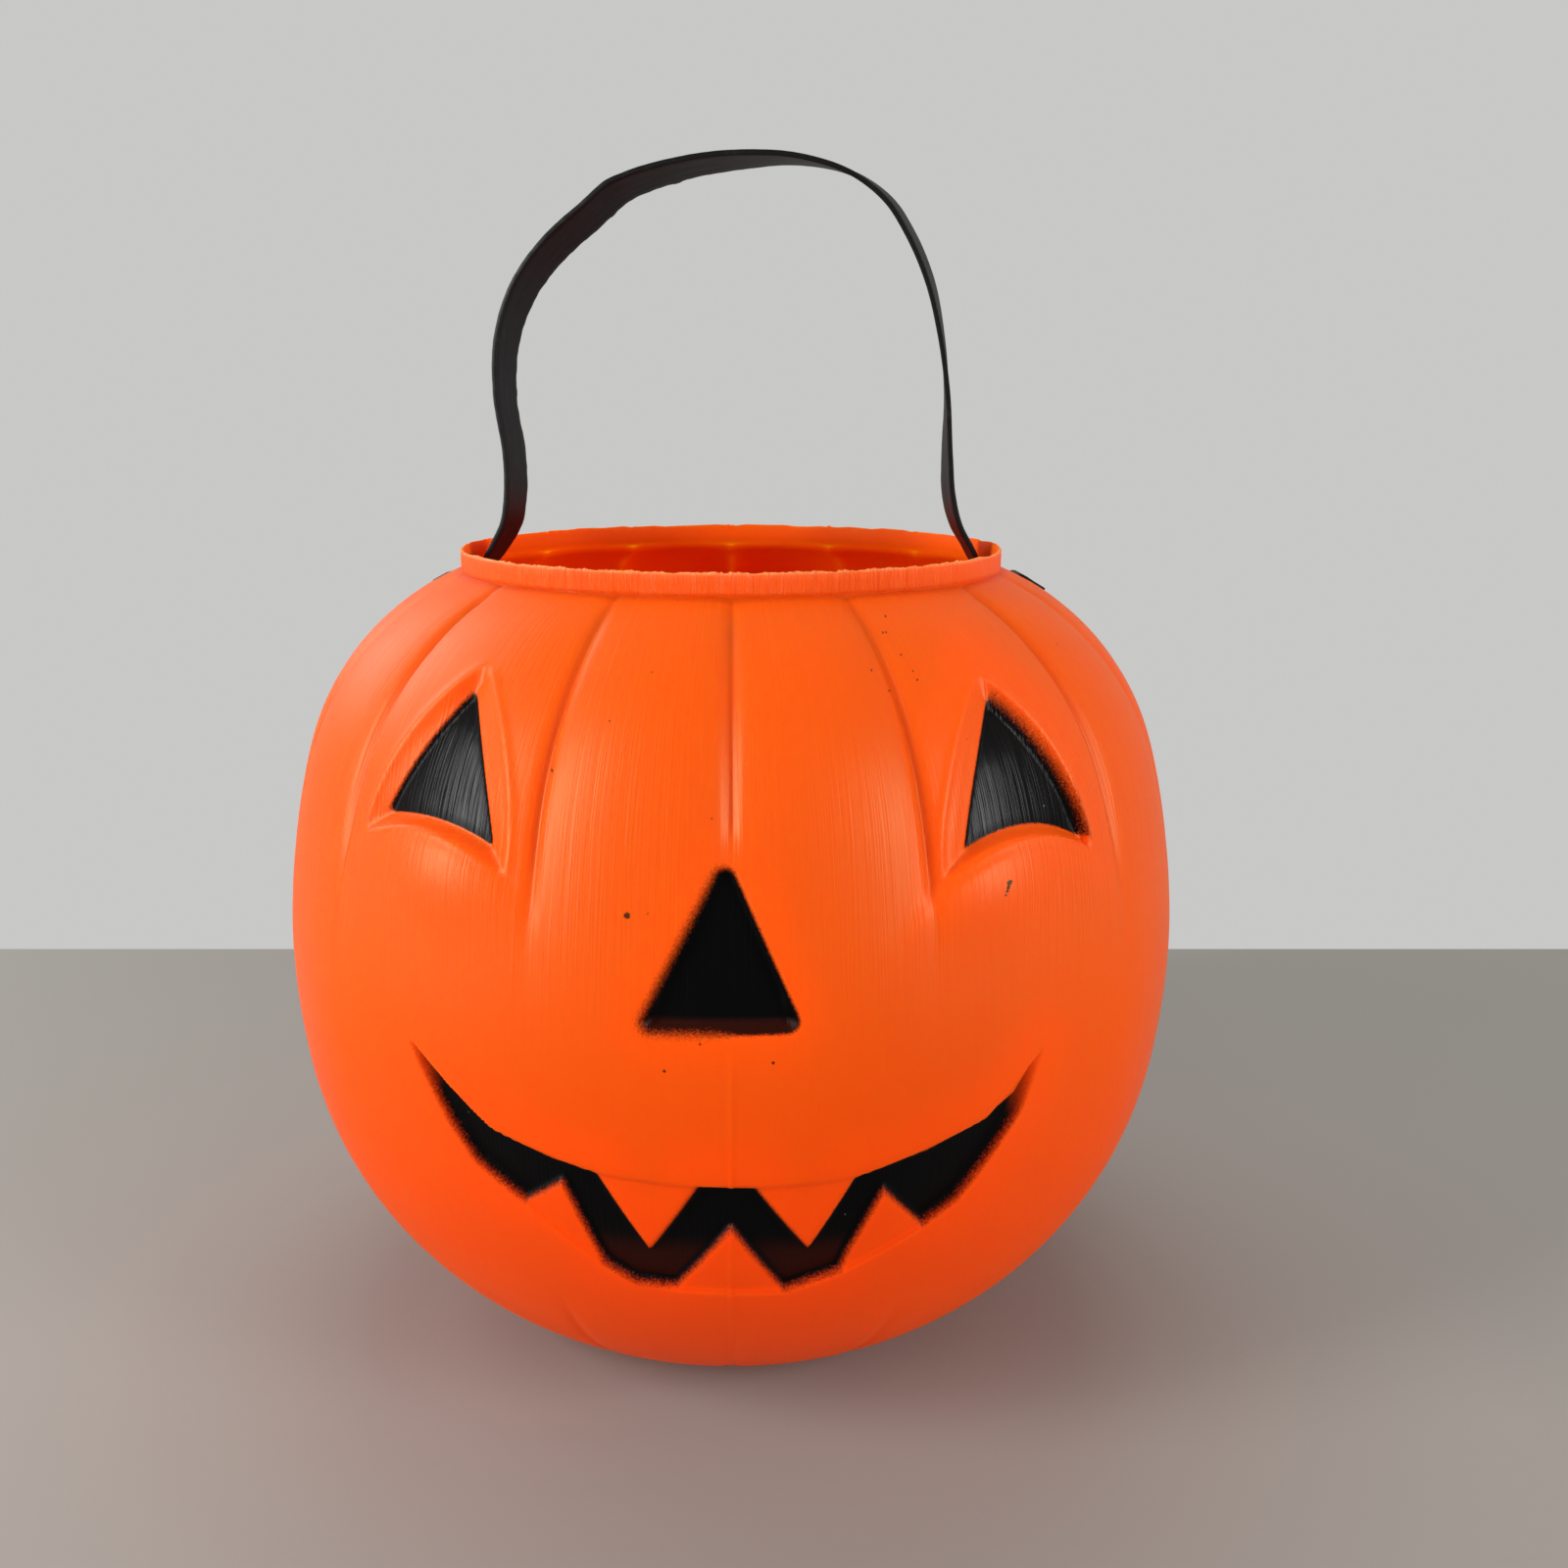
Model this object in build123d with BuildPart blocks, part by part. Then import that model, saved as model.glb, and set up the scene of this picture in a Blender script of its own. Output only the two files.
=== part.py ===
from build123d import *
import math
import os

# Pumpkin candy pail: a thin hollow orange shell with a collar round its mouth, four sunk face
# shapes painted black, and a flexible black strap whose ends are threaded through two slots.
# Millimetres, +Z up, the face looks along -Y, origin at the middle of the base.

# Shell profile: a long belly arc, a shoulder arc above it and a heel arc below it, all tangent
belly_radius = 108.0
belly_height = 95.0
belly_arc_radius = 173.0
belly_turn_up = 14.9
belly_turn_down = 8.4
shoulder_arc_radius = 62.3
base_radius = 54.3
wall = 1.2
heel_round = 3.0
turned_sectors = 8

# Collar round the mouth
collar_radius = 64.4
collar_height = 4.9

# Base: a flat standing ring round a shallow push-up
base_ring_width = 12.0
push_up_height = 4.0
push_up_run = 6.0

# Rib creases down the shell, as angles from the middle of the face
front_crease_angles = [0.0, 21.3, 50.5, 74.0]
rear_crease_gaps = 3
crease_radius = 4.0
crease_depth = 1.2
crease_fade_length = 45.0
crease_run_out = 8.0

# Sunk face shapes: angles from the middle of the face, heights above the belly or below the collar
recess_depth = 2.0
eye_apex_angle = 33.3
eye_apex_below_collar = 18.0
eye_outer_angle = 41.7
eye_outer_rise = 43.0
eye_inner_angle = 25.5
eye_inner_rise = 43.0
eye_outer_bow = 2.0
eye_lower_arch = 2.0
nose_half_angle = 7.6
nose_apex_rise = 43.0
nose_foot_rise = 14.0
nose_corner_radius = 2.0
mouth_corner_angle = 33.9
mouth_corner_drop = 1.0
mouth_top_drop = 20.3
upper_tooth_angle = 8.5
upper_tooth_half_angle = 5.6
upper_tooth_length = 15.0
mouth_outer_angle = 22.5
mouth_outer_drop = 29.5
lower_tooth_angle = 17.2
lower_tooth_drop = 21.3
mouth_valley_outer_angle = 12.6
mouth_valley_inner_angle = 6.2
mouth_valley_drop = 44.0
middle_tooth_drop = 28.5
mouth_upper_bow = 3.0
mouth_lower_bow = 3.0

# Black paint on the floor of each sunk shape
paint_thickness = 0.3
paint_clearance = 0.05

# Strap handle
strap_width = 12.0
strap_thickness = 1.2
strap_half_span = 54.0
strap_crown_above_rim = 89.5
strap_arch_rise = 45.0
strap_set_back = 5.0
swing_axis_above_rim = 17.0
strap_gap = 0.3
strap_straight_drop = 7.0
strap_tuck = 0.4
strap_lean_radius = 18.0
strap_bend_radius = 4.0
neck_width = 8.0
neck_slope = 15.0
slot_clearance = 0.4
tab_start_from_collar = 6.6
tab_length = 7.0
tab_bend_radius = 1.6
tab_corner_radius = 2.0

# Arc centres of the profile
up = math.radians(belly_turn_up)
down = math.radians(belly_turn_down)
belly_centre = (belly_radius - belly_arc_radius, belly_height)
shoulder_centre = (
    belly_centre[0] + (belly_arc_radius - shoulder_arc_radius) * math.cos(up),
    belly_centre[1] + (belly_arc_radius - shoulder_arc_radius) * math.sin(up),
)

# The heel arc leaves the belly arc smoothly and meets the floor at the base radius
heel_width = belly_centre[0] + belly_arc_radius * math.cos(down) - base_radius
heel_height = belly_centre[1] - belly_arc_radius * math.sin(down)
heel_lean = heel_width * math.cos(down) - heel_height * math.sin(down)
heel_arc_radius = (heel_width ** 2 + heel_height ** 2) / (2 * heel_lean)
heel_centre = (
    belly_centre[0] + (belly_arc_radius - heel_arc_radius) * math.cos(down),
    belly_centre[1] - (belly_arc_radius - heel_arc_radius) * math.sin(down),
)


def shoulder_height(radius):
    """Height of the shoulder at a radius."""
    return shoulder_centre[1] + math.sqrt(shoulder_arc_radius ** 2 - (radius - shoulder_centre[0]) ** 2)


def shoulder_point(radius, outset):
    """Point (radius, height) that stands outset mm off the shoulder, square to it."""
    height = shoulder_height(radius)
    share = outset / shoulder_arc_radius
    return (radius + share * (radius - shoulder_centre[0]), height + share * (height - shoulder_centre[1]))


def body_radius(height):
    """Outer radius of the shell at a height."""
    upper_limit = belly_height + belly_arc_radius * math.sin(up)
    lower_limit = belly_height - belly_arc_radius * math.sin(down)
    centre, radius = belly_centre, belly_arc_radius
    if height > upper_limit:
        centre, radius = shoulder_centre, shoulder_arc_radius
    if height < lower_limit:
        centre, radius = heel_centre, heel_arc_radius
    return centre[0] + math.sqrt(radius ** 2 - (height - centre[1]) ** 2)


collar_foot = shoulder_height(collar_radius)
rim_height = collar_foot + collar_height


def turned_body(inset, top):
    """Solid of revolution that lies inset mm inside the outer surface, closed flat at the top.

    It is turned in equal sectors, which keeps each of its faces small.
    """
    foot_radius = collar_radius - inset
    foot_angle = math.degrees(math.acos((foot_radius - shoulder_centre[0]) / (shoulder_arc_radius - inset)))
    base_angle = math.degrees(math.asin((inset - heel_centre[1]) / (heel_arc_radius - inset)))
    ring_inner = base_radius - base_ring_width
    belly_turn = belly_turn_up + belly_turn_down
    with BuildPart() as sector:
        with BuildSketch(Plane.XZ) as section:
            with BuildLine():
                heel = CenterArc(
                    heel_centre, heel_arc_radius - inset, base_angle, -belly_turn_down - base_angle
                )
                CenterArc(belly_centre, belly_arc_radius - inset, -belly_turn_down, belly_turn)
                shoulder = CenterArc(
                    shoulder_centre, shoulder_arc_radius - inset, belly_turn_up, foot_angle - belly_turn_up
                )
                Polyline(
                    shoulder @ 1,
                    (foot_radius, top),
                    (0, top),
                    (0, push_up_height + inset),
                    (ring_inner - push_up_run, push_up_height + inset),
                    (ring_inner, inset),
                    heel @ 0,
                )
            make_face()
            heel_corner = section.vertices().group_by(Axis.Y)[0].sort_by(Axis.X)[-1]
            fillet(heel_corner, radius=heel_round)
        revolve(axis=Axis.Z, revolution_arc=360 / turned_sectors)
    with BuildPart() as body:
        with PolarLocations(0, turned_sectors):
            add(sector.part, clean=False)
    return body.part


def crease_tool(radius):
    """Bent round bar, in the XZ plane, that leaves one rib crease where it bites into the shell.

    It follows the shoulder at an even depth, then bends less than the belly and so runs out of it.
    """
    shoulder_bend = shoulder_arc_radius + crease_radius - crease_depth
    foot_angle = math.degrees(math.acos((collar_radius - shoulder_centre[0]) / shoulder_arc_radius))
    fade_bend = 1 / (1 / belly_arc_radius - 2 * crease_depth / crease_fade_length ** 2)
    fade_centre = (
        shoulder_centre[0] + (shoulder_bend - fade_bend) * math.cos(up),
        shoulder_centre[1] + (shoulder_bend - fade_bend) * math.sin(up),
    )
    fade_turn = math.degrees((crease_fade_length + crease_run_out) / fade_bend)
    with BuildPart() as bar:
        with BuildLine(Plane.XZ) as path:
            CenterArc(shoulder_centre, shoulder_bend, foot_angle, belly_turn_up - foot_angle)
            CenterArc(fade_centre, fade_bend, belly_turn_up, -fade_turn)
        with BuildSketch(Plane(origin=path.line @ 0, z_dir=path.line % 0)):
            Circle(radius)
        sweep(path=path.line)
    return bar.part


def face_point(angle, height):
    """Point on the shell as seen square on from the front: sideways place and height."""
    return (body_radius(height) * math.sin(math.radians(angle)), height)


def bowed(start, end, bow):
    """Point beside the middle of a line, bow mm to its left."""
    length = math.dist(start, end)
    return (
        (start[0] + end[0]) / 2 - bow * (end[1] - start[1]) / length,
        (start[1] + end[1]) / 2 + bow * (end[0] - start[0]) / length,
    )


def eye_outline(side, grow):
    """Eye on the viewer's left (side -1) or right (side 1)."""
    apex = face_point(eye_apex_angle, collar_foot - eye_apex_below_collar)
    outer = face_point(eye_outer_angle, belly_height + eye_outer_rise)
    inner = face_point(eye_inner_angle, belly_height + eye_inner_rise)
    with BuildSketch() as eye:
        with BuildLine():
            ThreePointArc(apex, bowed(apex, outer, eye_outer_bow), outer)
            ThreePointArc(outer, bowed(outer, inner, -eye_lower_arch), inner)
            Line(inner, apex)
        make_face()
        if side < 0:
            mirror(about=Plane.YZ, mode=Mode.REPLACE)
        offset(amount=grow, mode=Mode.REPLACE)
    return eye.sketch


def nose_outline(grow):
    """Triangular nose with rounded corners."""
    apex = (0.0, belly_height + nose_apex_rise)
    right = face_point(nose_half_angle, belly_height + nose_foot_rise)
    with BuildSketch() as nose:
        with BuildLine():
            Polyline(apex, (-right[0], right[1]), right, close=True)
        make_face()
        fillet(nose.vertices(), radius=nose_corner_radius)
        offset(amount=grow, mode=Mode.REPLACE)
    return nose.sketch


def mouth_outline(grow):
    """Grin with two teeth hanging from its upper edge and three standing on its lower edge."""
    corner = face_point(mouth_corner_angle, belly_height - mouth_corner_drop)
    top = belly_height - mouth_top_drop
    tooth_outer = face_point(upper_tooth_angle + upper_tooth_half_angle, top)
    tooth_tip = face_point(upper_tooth_angle, top - upper_tooth_length)
    tooth_inner = face_point(upper_tooth_angle - upper_tooth_half_angle, top)
    outer_low = face_point(mouth_outer_angle, belly_height - mouth_outer_drop)
    lower_tip = face_point(lower_tooth_angle, belly_height - lower_tooth_drop)
    valley_outer = face_point(mouth_valley_outer_angle, belly_height - mouth_valley_drop)
    valley_inner = face_point(mouth_valley_inner_angle, belly_height - mouth_valley_drop)
    middle_tip = (0.0, belly_height - middle_tooth_drop)
    with BuildSketch() as mouth:
        with BuildLine():
            ThreePointArc(corner, bowed(corner, tooth_outer, mouth_upper_bow), tooth_outer)
            Polyline(tooth_outer, tooth_tip, tooth_inner, (0.0, tooth_inner[1]), middle_tip)
            Polyline(middle_tip, valley_inner, valley_outer, lower_tip, outer_low)
            ThreePointArc(outer_low, bowed(outer_low, corner, -mouth_lower_bow), corner)
        make_face()
        mirror(about=Plane.YZ)
        offset(amount=grow, mode=Mode.REPLACE)
    return mouth.sketch


def front_block(outline):
    """Straight block from the middle of the pail out past its front, with a face shape's outline."""
    with BuildPart() as block:
        with BuildSketch(Plane.XZ):
            add(outline)
        extrude(amount=2 * belly_radius)
    return block.part


def turned_to(angle):
    """Turn about the pail's axis that takes +X to an angle from the middle of the face."""
    return Location((0, 0, 0), (0, 0, angle - 90))


# Every crease, on both sides of the face: the rear ones start clear of the strap's tabs
strap_far_angle = 90 + math.degrees(math.asin((strap_set_back + strap_width / 2) / collar_radius))
rear_crease_start = strap_far_angle + math.degrees(math.asin((crease_radius + wall) / collar_radius))
rear_crease_step = (180 - rear_crease_start) / rear_crease_gaps
rear_crease_angles = [rear_crease_start + rear_crease_step * k for k in range(rear_crease_gaps)]
crease_angles = front_crease_angles + rear_crease_angles
crease_places = [turned_to(angle) for angle in crease_angles + [180]]
crease_places += [turned_to(-angle) for angle in crease_angles if angle > 0]

# Names and outlines of the four face shapes
face_shapes = {
    "left_eye": lambda grow: eye_outline(-1, grow),
    "right_eye": lambda grow: eye_outline(1, grow),
    "nose": nose_outline,
    "mouth": mouth_outline,
}

outer_body = turned_body(0.0, rim_height)
recess_floor = turned_body(recess_depth, rim_height)
recess_back = turned_body(recess_depth + wall, rim_height)

# Blocks that sink the face shapes into the outside, and the room that their backs take up inside
recess_tools = []
recess_pads = []
for outline in face_shapes.values():
    with BuildPart() as recess_tool:
        add(front_block(outline(0.0)))
        add(recess_floor, mode=Mode.SUBTRACT)
    recess_tools.append(recess_tool.part)
    with BuildPart() as recess_pad:
        add(front_block(outline(wall)))
        add(recess_back, mode=Mode.SUBTRACT)
    recess_pads.append(recess_pad.part)

outer_bar = crease_tool(crease_radius)
inner_bar = crease_tool(crease_radius + wall)

# Inside of the pail: it follows the creases and the sunk shapes one wall further in
with BuildPart() as cavity:
    add(turned_body(wall, rim_height + wall), clean=False)
    for pad in recess_pads:
        add(pad, clean=False, mode=Mode.SUBTRACT)
    for place in crease_places:
        add(inner_bar.located(place), clean=False, mode=Mode.SUBTRACT)

# Route of a strap end on the viewer's right: down beside the loop's leg, out under the collar,
# through the slot in the shoulder and flat along the outside
swing_height = rim_height + swing_axis_above_rim
lap_middle = strap_half_span + strap_gap + strap_thickness / 2
tab_outset = strap_gap + strap_thickness / 2
tab_start = shoulder_point(collar_radius + tab_start_from_collar, tab_outset)
tab_end = shoulder_point(collar_radius + tab_start_from_collar + tab_length, tab_outset)
neck_turn = math.radians(neck_slope)
turn_side = collar_radius - wall - strap_tuck
turn_height = tab_start[1] - (tab_start[0] - turn_side) * math.tan(neck_turn)
end_route = [
    (lap_middle, swing_height),
    (lap_middle, swing_height - strap_straight_drop),
    (turn_side, turn_height),
    tab_start,
    tab_end,
]


def strap_plane(half_width):
    """Front-view plane at the far edge of a strip of the strap, facing the viewer."""
    return Plane(origin=(0, strap_set_back + half_width, 0), x_dir=(1, 0, 0), z_dir=(0, -1, 0))


def end_strip(width):
    """Strip of the given width along a strap end's route."""
    with BuildPart() as strip:
        with BuildSketch(strap_plane(width / 2)):
            with BuildLine():
                FilletPolyline(*end_route, radius=[strap_lean_radius, strap_bend_radius, tab_bend_radius])
            trace(line_width=strap_thickness)
        extrude(amount=width)
    return strip.part


# Slots in the shoulder, square to the necks of the strap ends
neck_along = (math.cos(neck_turn), 0, math.sin(neck_turn))
neck_across = (-math.sin(neck_turn), 0, math.cos(neck_turn))
slot_plane = Plane(
    origin=((turn_side + tab_start[0]) / 2, strap_set_back, (turn_height + tab_start[1]) / 2),
    x_dir=neck_along,
    z_dir=neck_across,
)
slot_run = math.dist((turn_side, turn_height), tab_start)
with BuildPart() as slot_tools:
    with BuildSketch(slot_plane):
        Rectangle(slot_run, neck_width + 2 * slot_clearance)
    extrude(amount=strap_thickness / 2 + slot_clearance, both=True)
    mirror(about=Plane.YZ)

# Orange shell with its collar, creases, sunk face shapes and slots
with BuildPart() as pail_shell:
    add(outer_body, clean=False)
    for tool in recess_tools:
        add(tool, clean=False, mode=Mode.SUBTRACT)
    for place in crease_places:
        add(outer_bar.located(place), clean=False, mode=Mode.SUBTRACT)
    add(cavity.part, clean=False, mode=Mode.SUBTRACT)
    add(slot_tools.part, clean=False, mode=Mode.SUBTRACT)

# Room round the shell's wall that only the necks of the strap ends may enter
with BuildPart() as wall_zone:
    add(turned_body(-strap_gap, rim_height))
    add(turned_body(wall + strap_gap, rim_height), mode=Mode.SUBTRACT)

# Strap end on the viewer's right: a round lap beside the loop's leg, a leg, a neck and a tab
with BuildPart() as right_strap_end:
    add(end_strip(strap_width))
    tab_corners = right_strap_end.edges().filter_by(GeomType.LINE).filter_by(
        lambda edge: edge.length < strap_thickness + strap_gap
    )
    fillet(tab_corners.sort_by(Axis.X)[-2:], radius=tab_corner_radius)
    add(wall_zone.part, mode=Mode.SUBTRACT)
    add(end_strip(neck_width))
    with BuildSketch(Plane.YZ.offset(strap_half_span + strap_gap)):
        with Locations((strap_set_back, swing_height)):
            Circle(strap_width / 2)
    extrude(amount=strap_thickness)

with BuildPart() as left_strap_end:
    mirror(right_strap_end.part, about=Plane.YZ)

# Strap loop: an arch over the mouth on two upright legs with round lower ends
arch_spring = rim_height + strap_crown_above_rim - strap_arch_rise
with BuildPart() as strap_loop:
    with BuildSketch(strap_plane(strap_width / 2)):
        with Locations((0, arch_spring)):
            Ellipse(strap_half_span, strap_arch_rise)
            Ellipse(
                strap_half_span - strap_thickness, strap_arch_rise - strap_thickness, mode=Mode.SUBTRACT
            )
        split(bisect_by=Plane.XZ.offset(-arch_spring), keep=Keep.BOTTOM)
    extrude(amount=strap_width)
    with BuildSketch(Plane.YZ.offset(strap_half_span - strap_thickness)):
        with Locations((strap_set_back, swing_height)):
            Circle(strap_width / 2)
            Rectangle(strap_width, arch_spring - swing_height, align=(Align.CENTER, Align.MIN))
    extrude(amount=strap_thickness)
    mirror(about=Plane.YZ)

# Coats of black paint on the floors of the sunk shapes
coat_top = turned_body(recess_depth - paint_clearance - paint_thickness, rim_height)
coat_underside = turned_body(recess_depth - paint_clearance, rim_height)
face_paints = {}
for shape_name, outline in face_shapes.items():
    with BuildPart() as face_paint:
        add(front_block(outline(-paint_clearance)))
        add(coat_top, mode=Mode.INTERSECT)
        add(coat_underside, mode=Mode.SUBTRACT)
    face_paints[shape_name + "_paint"] = face_paint.part

pieces = {
    "pail_shell": pail_shell.part,
    "strap_loop": strap_loop.part,
    "left_strap_end": left_strap_end.part,
    "right_strap_end": right_strap_end.part,
    **face_paints,
}
os.makedirs("parts", exist_ok=True)
for piece_name, piece in pieces.items():
    piece.label = piece_name
    export_step(piece, "parts/" + piece_name + ".step")
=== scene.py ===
import math
import bpy
import bmesh
import numpy as np
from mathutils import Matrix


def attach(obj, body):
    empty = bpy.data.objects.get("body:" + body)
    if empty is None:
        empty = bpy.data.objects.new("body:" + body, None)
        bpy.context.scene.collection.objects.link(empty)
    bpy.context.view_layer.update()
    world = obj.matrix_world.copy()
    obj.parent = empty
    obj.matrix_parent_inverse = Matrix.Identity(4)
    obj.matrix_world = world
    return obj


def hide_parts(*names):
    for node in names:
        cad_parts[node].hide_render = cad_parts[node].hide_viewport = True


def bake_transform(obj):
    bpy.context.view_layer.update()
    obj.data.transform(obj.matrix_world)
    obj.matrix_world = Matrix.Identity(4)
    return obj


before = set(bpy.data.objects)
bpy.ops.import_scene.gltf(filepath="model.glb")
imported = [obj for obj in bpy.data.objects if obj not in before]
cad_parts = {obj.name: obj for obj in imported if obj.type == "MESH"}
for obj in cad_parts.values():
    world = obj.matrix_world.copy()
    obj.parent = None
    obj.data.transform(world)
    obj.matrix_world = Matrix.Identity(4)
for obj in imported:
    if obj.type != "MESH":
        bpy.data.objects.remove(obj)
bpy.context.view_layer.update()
mm = 0.001
sharpAngle = 50  # degrees, edges sharper than this stay crisp
print("frame loaded")


# Shader helpers

class Wire:
    def __init__(self, finish, socket):
        self.finish = finish
        self.socket = socket

    def join(self, operation, first, second):
        return self.finish.node("ShaderNodeMath", {"operation": operation}, {0: first, 1: second})

    def __add__(self, other):
        return self.join("ADD", self, other)

    def __sub__(self, other):
        return self.join("SUBTRACT", self, other)

    def __rsub__(self, other):
        return self.join("SUBTRACT", other, self)

    def __mul__(self, other):
        return self.join("MULTIPLY", self, other)

    def __truediv__(self, other):
        return self.join("DIVIDE", self, other)

    __radd__ = __add__
    __rmul__ = __mul__


class Finish:
    def __init__(self, owner):  # owner is a new material or world
        owner.use_nodes = True
        self.owner = owner
        self.tree = owner.node_tree
        self.tree.nodes.clear()

    def node(self, kind, settings, sockets, out=0):
        made = self.tree.nodes.new(kind)
        for key, value in settings.items():
            setattr(made, key, value)
        for place, value in sockets.items():
            if isinstance(value, Wire):
                self.tree.links.new(value.socket, made.inputs[place])
            else:
                made.inputs[place].default_value = value
        return Wire(self, made.outputs[out])

    def objectPlace(self):
        return self.node("ShaderNodeTexCoord", {}, {}, out="Object")

    def parts(self, vector):  # the three numbers of a vector
        first = self.node("ShaderNodeSeparateXYZ", {}, {0: vector})
        return [Wire(self, socket) for socket in first.socket.node.outputs]

    def layer(self, name):  # the three numbers stored on the mesh under a name
        return self.parts(self.node("ShaderNodeAttribute", {"attribute_name": name}, {}, out="Vector"))

    def step(self, value, low, high):  # soft step from 0 at low to 1 at high
        return self.node("ShaderNodeMapRange", {"interpolation_type": "SMOOTHSTEP"},
                         {0: value, 1: low, 2: high, 3: 0.0, 4: 1.0})

    def blendColour(self, factor, first, second):
        return self.node("ShaderNodeMix", {"data_type": "RGBA"}, {0: factor, 6: first, 7: second}, out=2)

    def noise(self, place, scale, detail):
        return self.node("ShaderNodeTexNoise", {}, {"Vector": place, "Scale": scale, "Detail": detail})

    def dots(self, place, scale, low, high):  # 1 in small scattered dots
        gap = self.node("ShaderNodeTexVoronoi", {}, {"Vector": place, "Scale": scale})
        return 1.0 - self.step(gap, low, high)

    def bump(self, height, strength, distance):
        return self.node("ShaderNodeBump", {}, {"Strength": strength, "Distance": distance, "Height": height})

    def mixShader(self, factor, first, second):
        return self.node("ShaderNodeMixShader", {}, {0: factor, 1: first, 2: second})

    def close(self, shader, end="ShaderNodeOutputMaterial"):
        last = self.tree.nodes.new(end)
        self.tree.links.new(shader.socket, last.inputs["Surface"])
        return self.owner


def newPiece(name, bm, material):
    bmesh.ops.scale(bm, vec=(mm, mm, mm), verts=bm.verts)
    mesh = bpy.data.meshes.new(name)
    bm.to_mesh(mesh)
    bm.free()
    mesh.shade_smooth()
    mesh.set_sharp_from_angle(angle=math.radians(sharpAngle))
    piece = bpy.data.objects.new(name, mesh)
    bpy.context.scene.collection.objects.link(piece)
    mesh.materials.append(material)
    return piece


def softStep(value, low, high):  # 0 below low, 1 above high
    t = np.clip((value - low) / (high - low), 0.0, 1.0)
    return t * t * (3 - 2 * t)


def fallStep(value, low, high):  # 1 below low, 0 above high
    return softStep(-value, -high, -low)


def bell(value, width):
    return np.exp(-(value / width) ** 2)


def wobble(t, seed):  # smooth repeatable unevenness, about -1 to 1
    return (np.sin(t * 1.0 + seed) + np.sin(t * 2.3 + seed * 1.7) + np.sin(t * 5.1 + seed * 2.9)) / 3


# Outlines of the face, in millimetres as seen square on from the front

def outlineDistance(x, z, loop):  # signed distance, negative inside
    best = np.full(x.shape, 1e9)
    inside = np.zeros(x.shape, bool)
    for (ax, az), (bx, bz) in zip(loop, np.roll(loop, -1, axis=0)):
        run = (bx - ax) ** 2 + (bz - az) ** 2
        t = np.clip(((x - ax) * (bx - ax) + (z - az) * (bz - az)) / run, 0, 1)
        best = np.minimum(best, (x - ax - t * (bx - ax)) ** 2 + (z - az - t * (bz - az)) ** 2)
        crosses = (az > z) != (bz > z)
        if abs(bz - az) > 1e-9:
            inside ^= crosses & (x < ax + (z - az) * (bx - ax) / (bz - az))
    return np.where(inside, -1, 1) * np.sqrt(best)


def roundMax(values, reach):  # largest of the values, with the corners rounded over the reach
    best = values[0]
    for value in values[1:]:
        overlap = np.clip(reach - np.abs(best - value), 0, None)
        best = np.maximum(best, value) + overlap ** 2 / (4 * reach)
    return best


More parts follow.
